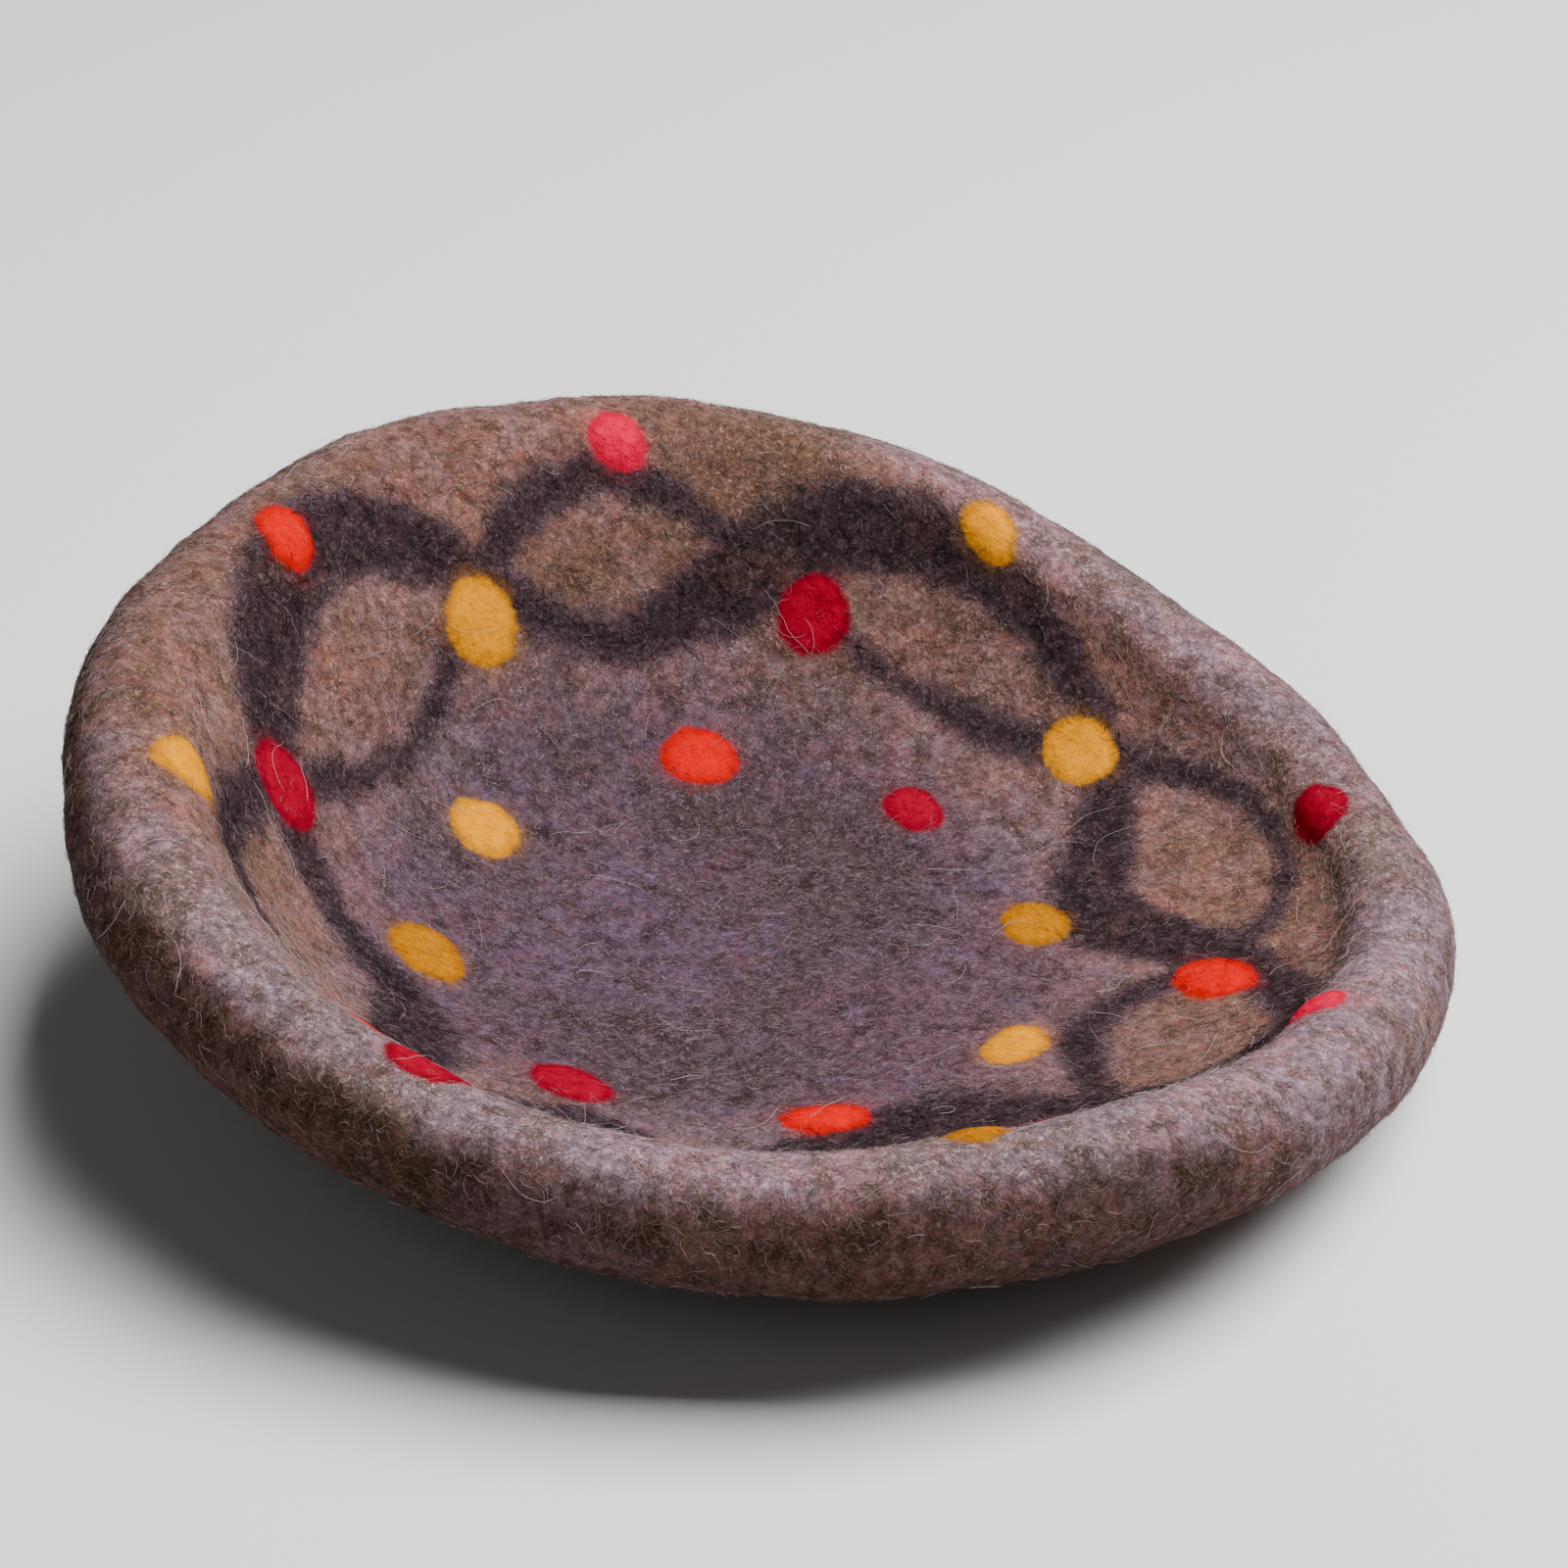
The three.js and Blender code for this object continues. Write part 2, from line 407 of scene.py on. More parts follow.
def spot_edge(surface):
    """How far each point is inside the nearest spot, and that spot's wool."""
    below = below_crest(surface)
    edge = np.full(below.shape, NO_EDGE)
    number = np.zeros(below.shape, int)
    for angle, down, tall, wide, lean, wool in spot_table():
        across = np.radians(degrees_from(surface.angles, angle))[:, None] * surface.out
        along = below - down
        turn = math.radians(lean)
        x = (across * math.cos(turn) + along * math.sin(turn)) / wide
        y = (along * math.cos(turn) - across * math.sin(turn)) / tall
        inside = (1 - np.hypot(x, y)) * min(tall, wide)
        nearer = inside > edge
        edge = np.where(nearer, inside, edge)
        number = np.where(nearer, wool, number)
    return edge, number


# ---------------------------------------------------------------------------------------------
# Meshes
# ---------------------------------------------------------------------------------------------

def mesh_object(name, points, faces, material):
    """A new object from points in millimetres and faces of three or four corners."""
    mesh = bpy.data.meshes.new(name)
    mesh.from_pydata((points * MM).tolist(), [], faces)
    mesh.polygons.foreach_set("use_smooth", np.ones(len(mesh.polygons), bool))
    mesh.materials.append(material)
    mesh.update()
    made = bpy.data.objects.new(name, mesh)
    bpy.context.collection.objects.link(made)
    return made


def add_numbers(mesh, name, values):
    layer = mesh.attributes.new(name, "FLOAT", "POINT")
    layer.data.foreach_set("value", np.asarray(values, np.float32))


def add_colours(mesh, name, values):
    layer = mesh.attributes.new(name, "FLOAT_COLOR", "POINT")
    opaque = np.concatenate([values, np.ones((len(values), 1))], 1)
    layer.data.foreach_set("color", opaque.astype(np.float32).ravel())


def mouth_lip(angles):
    """The round edge of the felt at the mouth, from its hidden side to its face."""
    turn = np.pi * (0.5 + np.arange(1, STEPS["lip"]) / STEPS["lip"])
    section = np.stack([MOUTH_RADIUS + FELT / 2 * (1 + np.cos(turn)),
                        FELT / 2 * (1 + np.sin(turn))], -1)
    return in_space(np.broadcast_to(section, (AROUND, *section.shape)), angles)


def shell_faces(count, back_point, face_point):
    """Faces between sections of count points each, closed at both ends by one point."""
    start = np.arange(AROUND) * count
    after = np.roll(start, -1)
    faces = []
    for step in range(count - 1):
        faces += np.stack([start + step, after + step, after + step + 1, start + step + 1],
                          1).tolist()
    end = count - 1
    faces += np.stack([np.full(AROUND, back_point), after, start], 1).tolist()
    faces += np.stack([start + end, after + end, np.full(AROUND, face_point)], 1).tolist()
    return faces


def felt_shell(surface, material):
    """The whole shell: its hidden back, the lip of the mouth and its face, closed."""
    face_steps = surface.points.shape[1] - 1
    picked = np.unique(np.linspace(0, face_steps - 1, BACK_ROWS).astype(int))
    back = surface.smooth[:, picked] - surface.smooth_normals[:, picked] * FELT
    lip = mouth_lip(surface.angles)
    rows = np.concatenate([back[:, ::-1], lip, surface.points[:, :-1]], 1)
    hidden = back.shape[1] + lip.shape[1]
    middle_back = surface.smooth[0, -1] - (0, 0, FELT)
    middle_face = surface.points[0, -1]
    points = np.concatenate([rows.reshape(-1, 3), [middle_back, middle_face]])
    faces = shell_faces(rows.shape[1], len(points) - 2, len(points) - 1)
    made = mesh_object("wool_felt", points, faces, material)

    def on_points(grid, elsewhere):
        values = np.full(rows.shape[:2] + grid.shape[2:], elsewhere, float)
        values[:, hidden:] = grid[:, :-1]
        flat = values.reshape((-1,) + grid.shape[2:])
        return np.concatenate([flat, np.full((2,) + grid.shape[2:], elsewhere, float)])

    masks = [
        ("band_edge", surface.bands, NO_EDGE),
        ("spot_edge", surface.spots, NO_EDGE),
        # the painted shade low on the outside, then the painted shade deep in the bowl
        ("low", surface.low, 1.0),
        ("deep_painted_shade", surface.deep_painted_shade, 0.0),
        ("wall", surface.wall, 0.0),
    ]
    for name, grid, elsewhere in masks:
        add_numbers(made.data, name, on_points(grid, elsewhere))
    colours = np.array(list(WOOL.values()))[surface.spot_number]
    add_colours(made.data, "spot_wool", on_points(colours, 0.0))
    return made


# ---------------------------------------------------------------------------------------------
# Loose wool
# ---------------------------------------------------------------------------------------------

# A row for each kind: its colour, how many strands, where they lie, their length, thickness and
# rise above the felt, the share with one end free, the points along one and how much it turns at
# each, in radians.
LOOSE_WOOL = [
    {"name": "wool_silver", "colour": (0.33, 0.255, 0.27), "count": 8200, "lies": "all",
     "length": (4, 12), "thick": (0.08, 0.13), "rise": (0.1, 0.9), "free": 0.40,
     "joints": 6, "curl": 0.50},
    {"name": "wool_hairs", "colour": (0.50, 0.42, 0.40), "count": 220, "lies": "all",
     "length": (14, 34), "thick": (0.12, 0.17), "rise": (0.3, 1.3), "free": 0.75,
     "joints": 10, "curl": 0.17},
    {"name": "wool_mauve", "colour": (0.28, 0.19, 0.235), "count": 7500, "lies": "pale",
     "length": (4, 9), "thick": (0.12, 0.20), "rise": (0.0, 0.6), "free": 0.25,
     "joints": 5, "curl": 0.65},
    {"name": "wool_tan", "colour": (0.25, 0.170, 0.130), "count": 6000, "lies": "wall",
     "length": (4, 10), "thick": (0.11, 0.19), "rise": (0.0, 0.6), "free": 0.25,
     "joints": 5, "curl": 0.55},
    {"name": "wool_brown", "colour": (0.135, 0.094, 0.067), "count": 9000, "lies": "plain",
     "length": (4, 9), "thick": (0.12, 0.20), "rise": (0.0, 0.7), "free": 0.25,
     "joints": 5, "curl": 0.65},
    {"name": "wool_soot", "colour": (0.018, 0.011, 0.014), "count": 4500, "lies": "dark",
     "length": (4, 10), "thick": (0.12, 0.20), "rise": (0.0, 0.5), "free": 0.20,
     "joints": 5, "curl": 0.55},
]
SPOT_STRANDS = {"count": 700, "length": (4, 8), "thick": (0.08, 0.12), "rise": (0.0, 0.12),
                "free": 0.10, "joints": 5, "curl": 0.55}
STRAND_SIDES = 3
STRAND_STRAY = 1.0          # how unevenly a strand turns, as a share of its curl
STRAND_SEED = 100           # the first kind's; each kind after it takes the next
FREE_RISE = 3.2             # a free end's height, as a multiple of the strand's rise
FREE_LIFT = 0.1             # how much higher such a strand lies all along
STRAND_OUT = 12.0           # strands turn round the middle no nearer than this
STRAND_STEP = 0.3           # shortest step of the surface that a strand takes into account

# Where loose wool lies: the first row that has any, and the heights above the ground where it
# starts and is whole. Then how it thins out or stays, as shares of its usual amount.
FIRST_ROW = STEPS["base"] + STEPS["wall"] // 3
CLEAR_OF_GROUND = (2.0, 14.0)
THINNER = {"low": 0.85, "wall": 0.85, "deep_painted_shade": 0.45}     # taken off where a painted shade or the wall's brown is whole
SPARSE = {"spots": 0.08, "bands": 0.24}                 # kept on a motif, of wool found all over
ASTRAY = {"wall": 0.12, "plain": 0.18, "dark": 0.02}    # found away from a kind's own place
LEAST_LOW = 0.05                                        # kept low on the outside
MOST_LOW = {"top": 2.0, "fall": 1.6}                    # brown wool thins out again on the foot

# Lengths inside a motif's edge that strands go by: where a ribbon starts and is whole, where other
# wool stops at a spot, and where the spot's own wool starts.
STRAND_EDGES = {"band": (-2.0, 2.0), "spot": -0.5, "spot_own": 1.0}


def strand_places(surface):
    """Where each kind of loose wool lies, as a share for every grid point."""
    low, wall, deep_painted_shade = surface.low, surface.wall, surface.deep_painted_shade
    rows = np.arange(surface.points.shape[1])[None, :]
    seen = (rows > FIRST_ROW) * ease(*CLEAR_OF_GROUND, surface.points[..., 2])
    bands = ease(*STRAND_EDGES["band"], surface.bands) * (surface.spots < 0)
    spots = surface.spots > STRAND_EDGES["spot"]
    own = surface.spots > STRAND_EDGES["spot_own"]
    plain = seen * (1 - bands) * ~spots
    bare = np.clip(1 - THINNER["low"] * low, LEAST_LOW, 1)
    side = np.clip(np.minimum(low, MOST_LOW["top"] - MOST_LOW["fall"] * low), 0, 1)
    sparse = (np.where(spots, SPARSE["spots"], 1.0)
              * np.where(bands > 0.5, SPARSE["bands"], 1.0))
    return {
        "all": seen * bare * sparse * (1 - THINNER["deep_painted_shade"] * deep_painted_shade),
        "pale": plain * bare * (1 - THINNER["wall"] * wall),
        "wall": plain * (ASTRAY["wall"] + wall) * bare,
        "plain": plain * (ASTRAY["plain"] + side),
        "dark": seen * np.where(spots, 0.0, ASTRAY["dark"] + bands),
        "spots": [seen * own * (surface.spot_number == number) for number in range(len(WOOL))],
    }


def strand_spines(surface, kind, where, rng):
    """Points along every strand and the felt's normals there, each (joints, strands, 3)."""
    count, joints = kind["count"], kind["joints"]
    area = surface.out * surface.step_around * surface.step_along
    weight = np.clip(area * where, 0, None)
    weight[:, -2:] = 0      # the sections meet there
    chosen = rng.choice(weight.size, count, p=(weight / weight.sum()).ravel())
    a = chosen // weight.shape[1] + rng.uniform(-0.5, 0.5, count)
    b = chosen % weight.shape[1] + rng.uniform(-0.5, 0.5, count)

    piece = rng.uniform(*kind["length"], count) / (joints - 1)
    heading = rng.uniform(0, 2 * np.pi, count)
    bend = rng.normal(0, kind["curl"], count)
    lift = rng.uniform(*kind["rise"], count)
    free = rng.random(count) < kind["free"]
    spine, normals = [], []
    for step in range(joints):
        t = step / (joints - 1)
        normal = surface.at(surface.normals, a, b)
        height = np.where(free, lift * FREE_RISE * t**2 + FREE_LIFT, lift * np.sin(np.pi * t))
        spine.append(surface.at(surface.points, a, b) + normal * height[:, None])
        normals.append(normal)
        out = np.maximum(surface.at(surface.out, a, b), STRAND_OUT)
        a = a + np.cos(heading) * piece / (out * surface.step_around)
        along = np.maximum(surface.at(surface.step_along, a, b), STRAND_STEP)
        b = b + np.sin(heading) * piece / along
        heading = heading + bend + rng.normal(0, STRAND_STRAY * kind["curl"], count)
    return np.array(spine), np.array(normals)


def strand_faces(joints):
    """Faces of one strand: a closed spindle, with a point at each end and rings between."""
    inner = joints - 2
    tip = 1 + inner * STRAND_SIDES
    end = (inner - 1) * STRAND_SIDES
    faces = []
    for corner in range(STRAND_SIDES):
        here, there = 1 + corner, 1 + (corner + 1) % STRAND_SIDES
        faces.append((0, there, here))
        for ring in range(inner - 1):
            low, high = ring * STRAND_SIDES, (ring + 1) * STRAND_SIDES
            faces.append((here + low, there + low, there + high))
            faces.append((here + low, there + high, here + high))
        faces.append((here + end, there + end, tip))
    return np.array(faces)


def strands(surface, name, colour, kind, where, seed):
    """Loose wool on the felt: closed, tapered strands that lie on its face in loose curls. where
    gives each grid point's share of them."""
    rng = np.random.default_rng(seed)
    spine, normals = strand_spines(surface, kind, where, rng)
    ahead = np.gradient(spine, axis=0)
    ahead /= np.linalg.norm(ahead, axis=-1, keepdims=True)
    side = np.cross(ahead, normals)
    side /= np.maximum(np.linalg.norm(side, axis=-1, keepdims=True), TINY)
    up = np.cross(side, ahead)
    radius = rng.uniform(*kind["thick"], kind["count"])[:, None] / 2
    rings = []
    for step in range(1, kind["joints"] - 1):
        for corner in range(STRAND_SIDES):
            turn = 2 * math.pi * corner / STRAND_SIDES
            way = math.cos(turn) * up[step] + math.sin(turn) * side[step]
            rings.append(spine[step] + radius * way)
    points = np.array([spine[0], *rings, spine[-1]])
    first = np.arange(kind["count"]) * len(points)
    faces = strand_faces(kind["joints"])[None] + first[:, None, None]
    return mesh_object(name, points.transpose(1, 0, 2).reshape(-1, 3),
                       faces.reshape(-1, 3).tolist(), strand_material(name, colour))


def loose_wool(surface):
    places = strand_places(surface)
    kinds = [(row["name"], row["colour"], row, places[row["lies"]]) for row in LOOSE_WOOL]
    kinds += [("wool_" + name, colour, SPOT_STRANDS, places["spots"][number])
              for number, (name, colour) in enumerate(WOOL.items())]
    return [strands(surface, *kind, STRAND_SEED + number) for number, kind in enumerate(kinds)]


# ---------------------------------------------------------------------------------------------
# Materials
# ---------------------------------------------------------------------------------------------

# Wool colours of the felt's ground and of its dark ribbons.
MAUVE = (0.268, 0.174, 0.230)
ROSE = (0.320, 0.160, 0.172)
OLIVE = (0.125, 0.090, 0.062)
BROWN = (0.104, 0.062, 0.048)
SILVER = (0.500, 0.400, 0.430)
EARTH = (0.060, 0.036, 0.029)
SOOT = (0.013, 0.008, 0.008)
PLUM = (0.046, 0.027, 0.033)
NAVY = (0.017, 0.013, 0.018)

# What the ground's colour is multiplied by where a painted shade or the wall's brown is whole.
PAINTED_SHADE_UNDER = (0.30, 0.26, 0.21)      # painted shade low on the outside
WALL = (0.80, 0.655, 0.50)      # on the bowl's wall
PAINTED_SHADE_DEEP = (0.36, 0.345, 0.42)      # painted shade on the bowl's floor, with a mauve tint

# Noises in the wool: size across in millimetres, and a shift in metres that keeps them apart.
NOISES = {
    "mottle":  {"size": 11.0, "detail": 4.0, "rough": 0.62, "shift": 0.00},
    "clump":   {"size": 4.2,  "detail": 3.0, "rough": 0.60, "shift": 0.00},
    "grain":   {"size": 1.5,  "detail": 2.0, "rough": 0.60, "shift": 0.00},
    "patch":   {"size": 62.0, "detail": 3.0, "rough": 0.55, "shift": 0.00},
    "patch_b": {"size": 95.0, "detail": 3.0, "rough": 0.50, "shift": 0.31},
    "patch_c": {"size": 34.0, "detail": 3.0, "rough": 0.55, "shift": 0.57},
    "blend":   {"size": 15.0, "detail": 3.0, "rough": 0.65, "shift": 0.83},
}

# Curled hairs: the size of their curls in millimetres, how close, how thick and how bent.
HAIRS = {
    "pale":   {"size": 4.6, "repeats": 5.0, "thick": 0.16, "bend": 0.5, "shift": 0.00},
    "curled": {"size": 3.8, "repeats": 4.2, "thick": 0.16, "bend": 0.6, "shift": 0.66},
    "dim":    {"size": 4.4, "repeats": 4.5, "thick": 0.20, "bend": 0.7, "shift": 0.17},
    "fair":   {"size": 5.2, "repeats": 5.5, "thick": 0.18, "bend": 0.6, "shift": 0.43},
}
HAIR_BREAKS = (0.38, 0.58)      # hairs break off where a finer noise is low, between these values
BREAK_SIZE = 0.6                # that noise's size, as a share of their curls' size
SHIFT_WAY = (1.0, -1.0, 0.7)    # the way in which every shift goes

# Wool laid over the ground, in this order: the noise, its values where the wool starts and is
# whole, how much of it, and its colour. Then hairs over the ground, the ribbons and the spots.
GROUND_PATCHES = [
    {"noise": "patch_b", "run": (0.50, 0.68), "share": 0.72, "colour": OLIVE},
    {"noise": "mottle",  "run": (0.44, 0.66), "share": 0.85, "colour": BROWN},
    {"noise": "grain",   "run": (0.49, 0.62), "share": 0.58, "colour": EARTH},
]
GROUND_HAIRS = [
    {"hairs": "dim",    "share": 0.45, "colour": EARTH},
    {"hairs": "fair",   "share": 0.50, "colour": ROSE},
    {"hairs": "pale",   "share": 0.52, "colour": SILVER},
    {"hairs": "curled", "share": 0.42, "colour": SILVER},
]
BAND_HAIRS = [
    {"hairs": "dim",  "share": 0.45, "colour": SOOT},
    {"hairs": "fair", "share": 0.14, "colour": MAUVE},
    {"hairs": "pale", "share": 0.07, "colour": SILVER},
]
SPOT_HAIRS = [{"hairs": "dim", "share": 0.04, "colour": SOOT}]

# Ramps: the values where one starts and ends, and what it gives there if that isn't 0 and 1.
RAMPS = {
    "hue":        (0.43, 0.57),                 # mauve to rose
    "low":        (0.20, 1.2),                  # the outside's painted shade
    "foot":       (1.0, 1.5, 1.0, 0.56),        # how much darker the painted shade is on the foot below that
    "wall_olive": (0.44, 0.62, 0.0, 0.30),      # olive in the wall's brown
    "plum":       (0.40, 0.58),                 # navy to plum in a ribbon
    "core":       (1.0, 11.0, 1.28, 0.62),      # darker inwards from a ribbon's edge
    "band":       (-4.6, 4.8),                  # a ribbon's soft edge
    "band_worn":  (0.32, 0.54, 0.74, 0.97),     # where the ground shows through it
    "tuft_fine":  (0.28, 0.72, 0.70, 1.26),     # light and dark tufts
    "tuft":       (0.32, 0.66, 0.64, 1.20),
    "spot":       (-1.2, 1.4),                  # a spot's edge
    "spot_edge_painted_shade":   (0.0, 5.5, 0.62, 1.0),        # painted shade round the inside of its edge
    "spot_tuft":  (0.30, 0.68, 0.88, 1.10),
    "stain":      (-7.0, 0.0, 0.0, 0.10),       # a spot's wool in the felt around it
    "stain_worn": (0.38, 0.60),
}
LOW_MOTTLE = 0.4                # how ragged the painted low shade's edge is

# How much each field raises the felt, as a share of the relief's depth.
RELIEF = {"pale": 0.10, "fair": 0.07, "dim": -0.04, "clump": 0.40, "mottle": 1.0, "grain": 0.20}
RELIEF_DEPTH = 0.8              # millimetres

# How far matted fibres move a motif's edge, in millimetres.
FRAY_MOTTLE = 14.0
FRAY_CLUMP = 9.0
FRAY_HAIRS = 1.8
SPOT_FRAY = 0.30                # a spot's edge moves only by this share of it

WOOL_ROUGHNESS = 0.95
WOOL_SPECULAR = 0.02


class Nodes:
    """A short way to write a material's nodes."""

    def __init__(self, name):
        self.material = bpy.data.materials.new(name)
        self.material.use_nodes = True
        self.tree = self.material.node_tree
        self.shader = self.tree.nodes["Principled BSDF"]

    def add(self, kind, inputs=(), **settings):
        node = self.tree.nodes.new(kind)
        for key, value in settings.items():
            setattr(node, key, value)
        for key, value in dict(inputs).items():
            self.put(node.inputs[key], value)
        return node

    def put(self, socket, value):
        if isinstance(value, bpy.types.NodeSocket):
            self.tree.links.new(value, socket)
        else:
            socket.default_value = value

    def maths(self, operation, a, b):
        return self.add("ShaderNodeMath", {0: a, 1: b}, operation=operation).outputs[0]

    def times(self, a, b):
        return self.maths("MULTIPLY", a, b)

    def plus(self, a, b):
        return self.maths("ADD", a, b)

    def wool_noise(self, places, size, detail, rough, bend=0.0):
        node = self.add("ShaderNodeTexNoise", {
            "Vector": places, "Scale": 1 / (size * MM), "Detail": detail, "Roughness": rough,
            "Distortion": bend}, noise_type="FBM", normalize=True)
        return node.outputs["Fac"]

    def shifted(self, places, by):
        way = tuple(by * part for part in SHIFT_WAY)
        return self.add("ShaderNodeVectorMath", {0: places, 1: way}, operation="ADD").outputs[0]

    def hairs(self, places, size, repeats, thick, bend):
        """Curled hairs: level lines of a noise, broken up by another. 1 on a hair, 0 between."""
        field = self.wool_noise(places, size, 2.0, 0.5, bend)
        folded = self.maths("PINGPONG", self.times(field, repeats), 0.5)
        line = self.ramp(folded, 0.5 - thick, 0.5)
        broken = self.ramp(self.wool_noise(places, BREAK_SIZE * size, 1.0, 0.5), *HAIR_BREAKS)
        return self.times(line, broken)

    def ramp(self, value, low, high, to_low=0.0, to_high=1.0):
        node = self.add("ShaderNodeMapRange", {
            "Value": value, "From Min": low, "From Max": high, "To Min": to_low,
            "To Max": to_high}, interpolation_type="SMOOTHSTEP", clamp=True)
        return node.outputs["Result"]

    def mix(self, share, a, b, blend="MIX"):
        node = self.add("ShaderNodeMix", data_type="RGBA", blend_type=blend)
        self.put(node.inputs["Factor"], share)
        self.put(node.inputs[6], (*a, 1.0) if isinstance(a, tuple) else a)
        self.put(node.inputs[7], (*b, 1.0) if isinstance(b, tuple) else b)
        return node.outputs[2]

    def shade(self, colour, value):
        """A colour made lighter or darker all over."""
        grey = self.add("ShaderNodeCombineColor", {"Red": value, "Green": value, "Blue": value})
        return self.mix(1.0, colour, grey.outputs[0], "MULTIPLY")

    def attribute(self, name, output="Fac"):
        return self.add("ShaderNodeAttribute", attribute_name=name).outputs[output]


def wool_fields(n):
    """Every noise and every kind of hairs, by name."""
    places = n.add("ShaderNodeTexCoord").outputs["Object"]
    fields = {}
    for table, draw in ((NOISES, n.wool_noise), (HAIRS, n.hairs)):
        for name, row in table.items():
            looks = {key: value for key, value in row.items() if key != "shift"}
            fields[name] = draw(n.shifted(places, row["shift"]), **looks)
    return fields


def with_hairs(n, colour, fields, rows):
    for row in rows:
        colour = n.mix(n.times(fields[row["hairs"]], row["share"]), colour, row["colour"])
    return colour


def ground_wool(n, fields):
    """Mauve and rose wool with patches of olive and brown, browner on the wall, with painted shade
    low on the outside and deep in the bowl.
    """
    hue = n.plus(n.times(fields["patch"], 0.5), n.times(fields["blend"], 0.5))
    colour = n.mix(n.ramp(hue, *RAMPS["hue"]), MAUVE, ROSE)
    for row in GROUND_PATCHES:
        patch = n.ramp(fields[row["noise"]], *row["run"], 0.0, row["share"])
        colour = n.mix(patch, colour, row["colour"])
    colour = with_hairs(n, colour, fields, GROUND_HAIRS)

    # Painted shade low on the outside, darkest on the foot; low is its mask.
    low = n.attribute("low")
    ragged = n.plus(low, n.times(fields["mottle"], LOW_MOTTLE))
    colour = n.mix(n.ramp(ragged, *RAMPS["low"]), colour, PAINTED_SHADE_UNDER, "MULTIPLY")
    colour = n.shade(colour, n.ramp(low, *RAMPS["foot"]))
    wall = n.attribute("wall")
    olive = n.times(wall, n.ramp(fields["patch_c"], *RAMPS["wall_olive"]))
    colour = n.mix(olive, colour, OLIVE)
    colour = n.mix(wall, colour, WALL, "MULTIPLY")
    # Painted shade deep in the bowl, tinted mauve.
    return n.mix(n.attribute("deep_painted_shade"), colour, PAINTED_SHADE_DEEP, "MULTIPLY")


def band_wool(n, fields):
    """Near black to plum, darkest along a ribbon's middle."""
    colour = n.mix(n.ramp(fields["patch_c"], *RAMPS["plum"]), NAVY, PLUM)
    colour = n.shade(colour, n.ramp(n.attribute("band_edge"), *RAMPS["core"]))
    return with_hairs(n, colour, fields, BAND_HAIRS)


def frayed(n, fields):
    """How far matted fibres move a motif's edge at each place."""
    lumps = n.times(n.maths("SUBTRACT", fields["mottle"], 0.5), FRAY_MOTTLE)
    tufts = n.times(n.maths("SUBTRACT", fields["clump"], 0.5), FRAY_CLUMP)
    threads = n.times(n.maths("SUBTRACT", fields["dim"], fields["pale"]), FRAY_HAIRS)
    return n.plus(n.plus(lumps, tufts), threads)


def felt_relief(n, fields):
    height = 0.0
    for name, share in RELIEF.items():
        height = n.plus(height, n.times(fields[name], share))
    bump = n.add("ShaderNodeBump",
                 {"Height": height, "Strength": 1.0, "Distance": RELIEF_DEPTH * MM})
    return bump.outputs["Normal"]


def felt_material():
    """Matted wool: dyed wool in patches, curled fibres in colour and relief, the inlaid design."""
    n = Nodes("wool_felt")
    fields = wool_fields(n)
    fray = frayed(n, fields)
    band = n.ramp(n.plus(n.attribute("band_edge"), fray), *RAMPS["band"])
    band = n.times(band, n.ramp(fields["patch_c"], *RAMPS["band_worn"]))
    colour = n.mix(band, ground_wool(n, fields), band_wool(n, fields))
    tufts = n.times(n.ramp(fields["grain"], *RAMPS["tuft_fine"]),
                    n.ramp(fields["clump"], *RAMPS["tuft"]))
    colour = n.shade(colour, tufts)

    own = n.attribute("spot_wool", "Color")
    edge = n.plus(n.attribute("spot_edge"), n.times(fray, SPOT_FRAY))
    stain = n.times(n.ramp(edge, *RAMPS["stain"]), n.ramp(fields["blend"], *RAMPS["stain_worn"]))
    colour = n.mix(stain, colour, own)
    spot = n.shade(own, n.ramp(fields["clump"], *RAMPS["spot_tuft"]))
    spot = with_hairs(n, spot, fields, SPOT_HAIRS)
    # Painted shade round the inside of a spot's edge.
    spot = n.shade(spot, n.ramp(edge, *RAMPS["spot_edge_painted_shade"]))
    colour = n.mix(n.ramp(edge, *RAMPS["spot"]), colour, spot)

    n.put(n.shader.inputs["Base Color"], colour)
    n.put(n.shader.inputs["Normal"], felt_relief(n, fields))
    woolly(n.shader)
    return n.material


def woolly(shader):
    shader.inputs["Roughness"].default_value = WOOL_ROUGHNESS
    shader.inputs["Specular IOR Level"].default_value = WOOL_SPECULAR


def strand_material(name, colour):
    n = Nodes(name)
    n.shader.inputs["Base Color"].default_value = (*colour, 1.0)
    woolly(n.shader)
    return n.material


# ---------------------------------------------------------------------------------------------
# Floor, lights and camera, in metres
# ---------------------------------------------------------------------------------------------

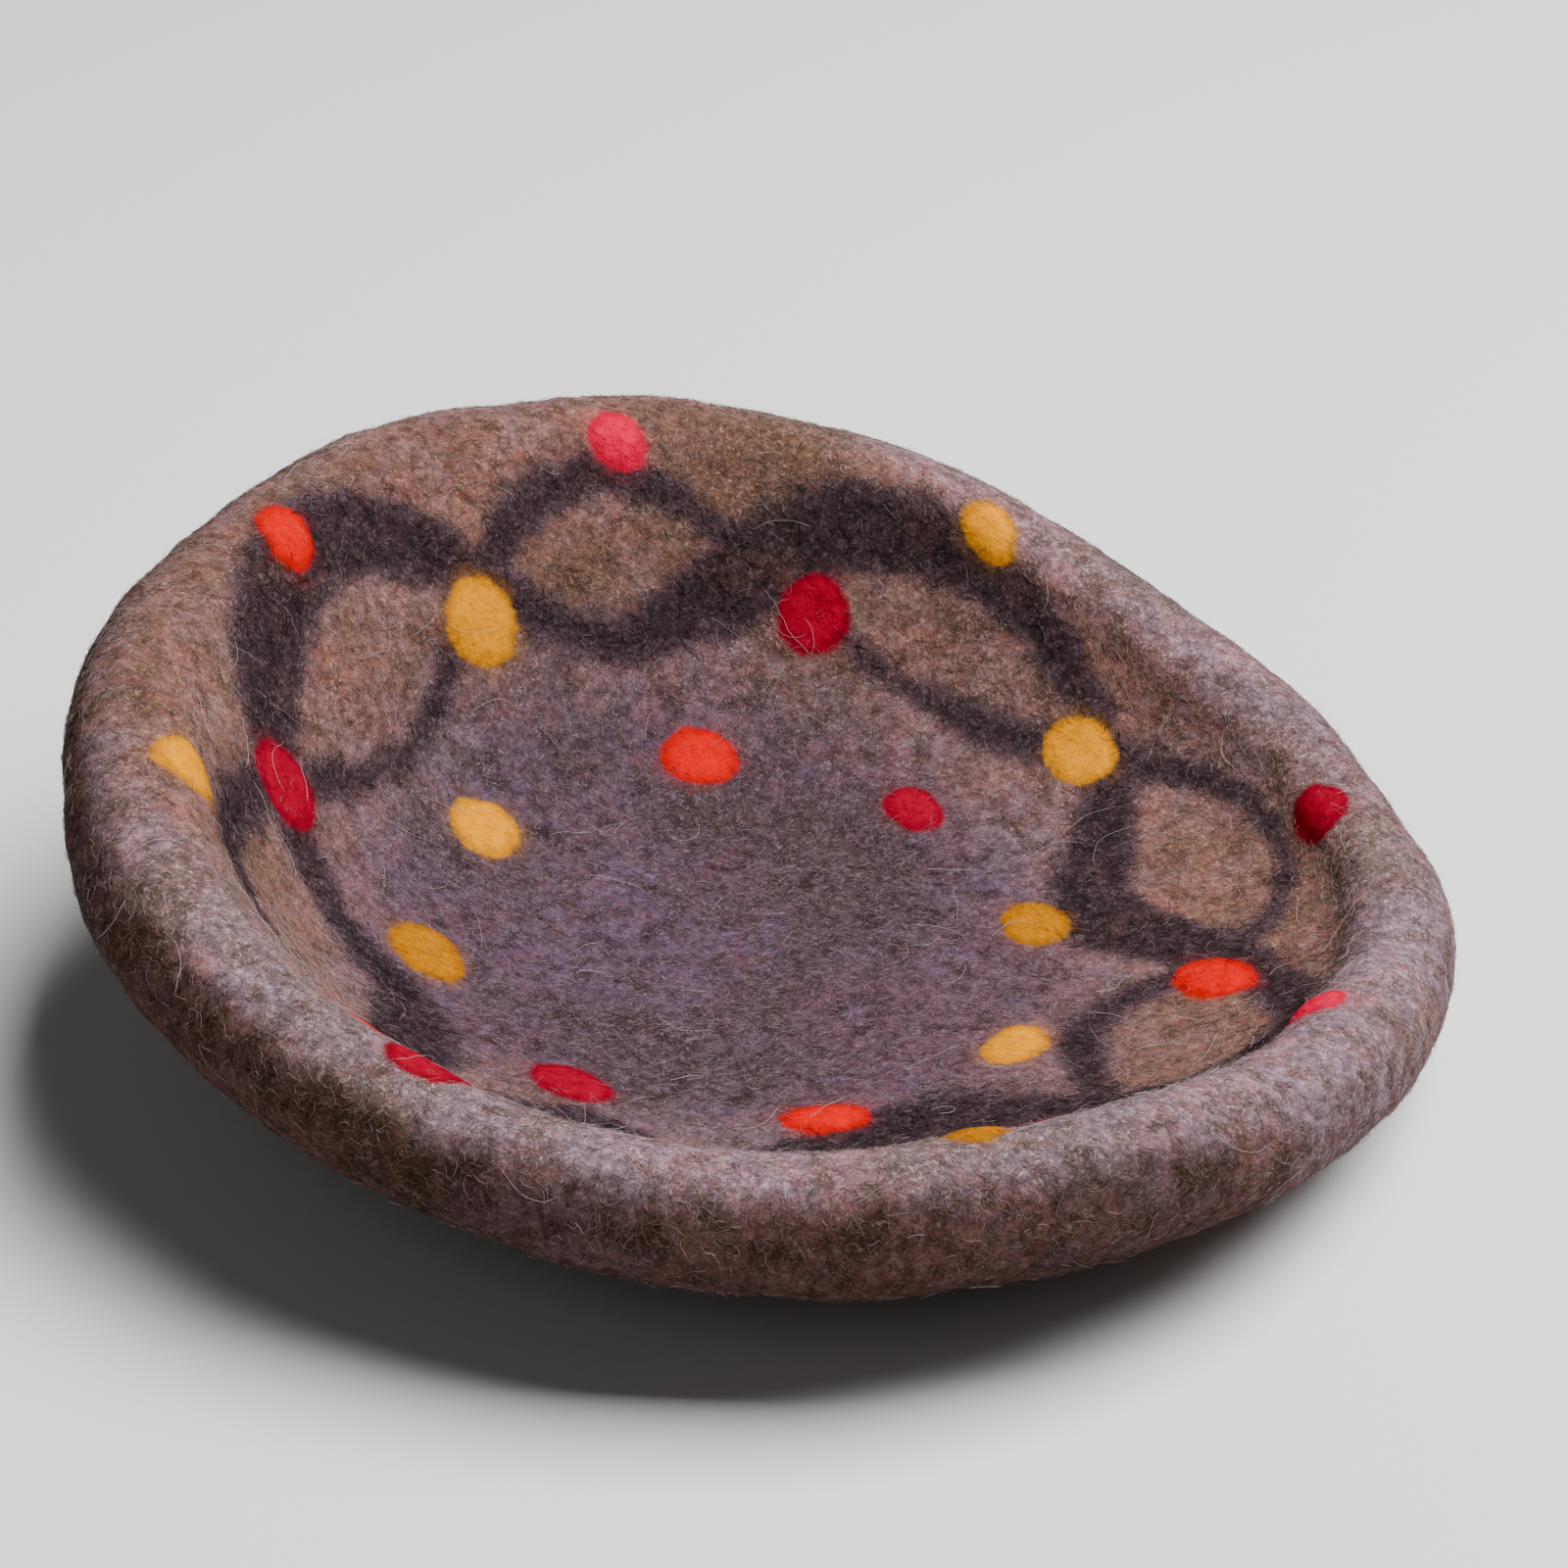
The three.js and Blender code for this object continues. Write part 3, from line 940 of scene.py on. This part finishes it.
CAMERA = {"elevation": 30.0, "distance": 1.35, "aim": (0.00505, -0.0019, 0.099), "lens": 86.9}
LIGHTS = [
    {"name": "key", "place": (1.50, 0.05, 3.20), "size": 2.4, "power": 310.0},
    {"name": "fill", "place": (-1.2, -3.0, 2.4), "size": 2.0, "power": 8.0},
]
LIGHTS_AIM = (0.0, 0.0, 0.05)
WORLD_COLOUR = (1.0, 1.0, 1.0, 1.0)
WORLD_LIGHT = 0.05
FLOOR_COLOUR = (0.84, 0.84, 0.84, 1.0)
FLOOR_ROUGHNESS = 0.9
FLOOR_HALF = 20.0               # half the floor's width


def aimed(thing, target):
    way = Vector(target) - thing.location
    thing.rotation_euler = way.to_track_quat("-Z", "Y").to_euler()


def floor():
    n = Nodes("floor")
    n.shader.inputs["Base Color"].default_value = FLOOR_COLOUR
    n.shader.inputs["Roughness"].default_value = FLOOR_ROUGHNESS
    corners = np.array([(-1, -1, 0), (1, -1, 0), (1, 1, 0), (-1, 1, 0)]) * FLOOR_HALF / MM
    return mesh_object("floor", corners, [(0, 1, 2, 3)], n.material)


def lights():
    world = bpy.data.worlds.new("studio")
    world.use_nodes = True
    background = world.node_tree.nodes["Background"]
    background.inputs["Color"].default_value = WORLD_COLOUR
    background.inputs["Strength"].default_value = WORLD_LIGHT
    bpy.context.scene.world = world

    for row in LIGHTS:
        data = bpy.data.lights.new(row["name"], "AREA")
        data.size = row["size"]
        data.energy = row["power"]
        lamp = bpy.data.objects.new(row["name"], data)
        lamp.location = row["place"]
        aimed(lamp, LIGHTS_AIM)
        bpy.context.collection.objects.link(lamp)


def camera():
    rise = math.radians(CAMERA["elevation"])
    data = bpy.data.cameras.new("camera")
    data.lens = CAMERA["lens"]
    made = bpy.data.objects.new("camera", data)
    back = Vector((0, -math.cos(rise), math.sin(rise)))
    made.location = Vector(CAMERA["aim"]) + back * CAMERA["distance"]
    aimed(made, CAMERA["aim"])
    bpy.context.collection.objects.link(made)
    bpy.context.scene.camera = made


camera()
floor()
lights()
surface = Surface()
felt = felt_shell(surface, felt_material())
wool = loose_wool(surface)

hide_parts("felt_shell")
for piece in [felt, *wool]:
    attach(piece, "root")
